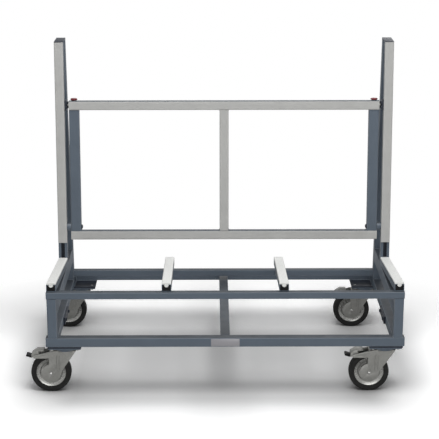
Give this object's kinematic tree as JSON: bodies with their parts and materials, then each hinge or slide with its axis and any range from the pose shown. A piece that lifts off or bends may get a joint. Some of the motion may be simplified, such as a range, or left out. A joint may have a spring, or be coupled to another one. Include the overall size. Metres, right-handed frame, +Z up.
{
  "type": "slab trolley",
  "caption": "Slab trolley: tube base frame on braked swivel casters, sloping padded supports, leaning padded uprights and a folding back frame with lock bolts.",
  "frame": {"origin": "on the floor, under the middle of the whole trolley, brake pedals included", "axes": "+X along the trolley to the right seen from the front, +Y to the back where the uprights lean, +Z up"},
  "size_m": [1.6004, 0.8912, 1.4115],
  "materials": {
    "frame_paint": "satin powder coat, blue-grey",
    "plate_paint": "satin, dark navy",
    "support_pad": "matt, white",
    "back_pad": "matt, light grey",
    "black_plastic": "matt, black",
    "zinc": "zinc plated",
    "bright_steel": "bright plated",
    "rim": "satin, grey",
    "tyre": "matt, black",
    "knob_red": "satin, dark red",
    "label_plate": "satin, blank"
  },
  "bodies": {
    "frame": {"bracket_bolts": "plate_paint", "caster_plates": "frame_paint", "center_rail": "frame_paint", "front_lower_rail": "frame_paint", "front_posts": "frame_paint", "front_upper_rail": "frame_paint", "label_plate": "label_plate", "latch_plates": "plate_paint", "mounting_plates": "plate_paint", "pivot_lugs": "frame_paint", "plate_bolts": "bright_steel", "rail_end_caps": "frame_paint", "rear_cross_rail": "frame_paint", "rear_lower_rail": "frame_paint", "rear_posts": "frame_paint", "side_plates": "plate_paint", "side_rail_left": "frame_paint", "side_rail_right": "frame_paint", "support_channels": "frame_paint", "support_plugs": "black_plastic", "support_stays": "frame_paint", "support_strips": "support_pad", "upper_side_rails": "frame_paint", "upright_caps": "plate_paint", "upright_channel_left": "frame_paint", "upright_channel_right": "frame_paint", "upright_strips": "back_pad"},
    "back_frame": {"back_top_bar": "frame_paint", "back_lower_bar": "frame_paint", "back_center_bar": "frame_paint", "back_side_tubes": "frame_paint", "back_strips": "back_pad"},
    "lock_left": {"lock_bolt_left": "zinc", "lock_knob_left": "knob_red"},
    "lock_right": {"lock_bolt_right": "zinc", "lock_knob_right": "knob_red"},
    "caster_front_left": {"fork_front_left": "zinc", "axle_front_left": "bright_steel"},
    "wheel_front_left": {"wheel_rim_front_left": "rim", "tyre_front_left": "tyre"},
    "pedal_front_left": {"brake_pedal_front_left": "zinc", "pedal_pad_front_left": "black_plastic"},
    "caster_front_right": {"fork_front_right": "zinc", "axle_front_right": "bright_steel"},
    "wheel_front_right": {"wheel_rim_front_right": "rim", "tyre_front_right": "tyre"},
    "pedal_front_right": {"brake_pedal_front_right": "zinc", "pedal_pad_front_right": "black_plastic"},
    "caster_rear_left": {"fork_rear_left": "zinc", "axle_rear_left": "bright_steel"},
    "wheel_rear_left": {"wheel_rim_rear_left": "rim", "tyre_rear_left": "tyre"},
    "pedal_rear_left": {"brake_pedal_rear_left": "zinc", "pedal_pad_rear_left": "black_plastic"},
    "caster_rear_right": {"fork_rear_right": "zinc", "axle_rear_right": "bright_steel"},
    "wheel_rear_right": {"wheel_rim_rear_right": "rim", "tyre_rear_right": "tyre"},
    "pedal_rear_right": {"brake_pedal_rear_right": "zinc", "pedal_pad_rear_right": "black_plastic"}
  },
  "joints": [
    {"name": "back_fold", "type": "hinge", "parent": "frame", "child": "back_frame", "pos_m": [0.04622, 0.09182, 0.58686], "axis": [1, 0, 0], "range_deg": [0, 90]},
    {"name": "lock_left_slide", "type": "slide", "parent": "back_frame", "child": "lock_left", "axis": [-1, 0, 0], "range_m": [0, 0.011]},
    {"name": "lock_right_slide", "type": "slide", "parent": "back_frame", "child": "lock_right", "axis": [1, 0, 0], "range_m": [0, 0.011]},
    {"name": "swivel_front_left", "type": "hinge", "parent": "frame", "child": "caster_front_left", "pos_m": [-0.63128, -0.3784, 0.1892], "axis": [0, 0, 1], "continuous": true},
    {"name": "roll_front_left", "type": "hinge", "parent": "caster_front_left", "child": "wheel_front_left", "pos_m": [-0.69528, -0.3784, 0.0855], "axis": [0, 1, 0], "continuous": true},
    {"name": "brake_front_left", "type": "hinge", "parent": "caster_front_left", "child": "pedal_front_left", "pos_m": [-0.74528, -0.3784, 0.164], "axis": [0, -1, 0], "range_deg": [0, 12]},
    {"name": "swivel_front_right", "type": "hinge", "parent": "frame", "child": "caster_front_right", "pos_m": [0.72372, -0.3784, 0.1892], "axis": [0, 0, 1], "continuous": true},
    {"name": "roll_front_right", "type": "hinge", "parent": "caster_front_right", "child": "wheel_front_right", "pos_m": [0.65972, -0.3784, 0.0855], "axis": [0, 1, 0], "continuous": true},
    {"name": "brake_front_right", "type": "hinge", "parent": "caster_front_right", "child": "pedal_front_right", "pos_m": [0.60972, -0.3784, 0.164], "axis": [0, -1, 0], "range_deg": [0, 12]},
    {"name": "swivel_rear_left", "type": "hinge", "parent": "frame", "child": "caster_rear_left", "pos_m": [-0.63128, 0.3796, 0.1892], "axis": [0, 0, 1], "continuous": true},
    {"name": "roll_rear_left", "type": "hinge", "parent": "caster_rear_left", "child": "wheel_rear_left", "pos_m": [-0.69528, 0.3796, 0.0855], "axis": [0, 1, 0], "continuous": true},
    {"name": "brake_rear_left", "type": "hinge", "parent": "caster_rear_left", "child": "pedal_rear_left", "pos_m": [-0.74528, 0.3796, 0.164], "axis": [0, -1, 0], "range_deg": [0, 12]},
    {"name": "swivel_rear_right", "type": "hinge", "parent": "frame", "child": "caster_rear_right", "pos_m": [0.72372, 0.3796, 0.1892], "axis": [0, 0, 1], "continuous": true},
    {"name": "roll_rear_right", "type": "hinge", "parent": "caster_rear_right", "child": "wheel_rear_right", "pos_m": [0.65972, 0.3796, 0.0855], "axis": [0, 1, 0], "continuous": true},
    {"name": "brake_rear_right", "type": "hinge", "parent": "caster_rear_right", "child": "pedal_rear_right", "pos_m": [0.60972, 0.3796, 0.164], "axis": [0, -1, 0], "range_deg": [0, 12]}
  ]
}
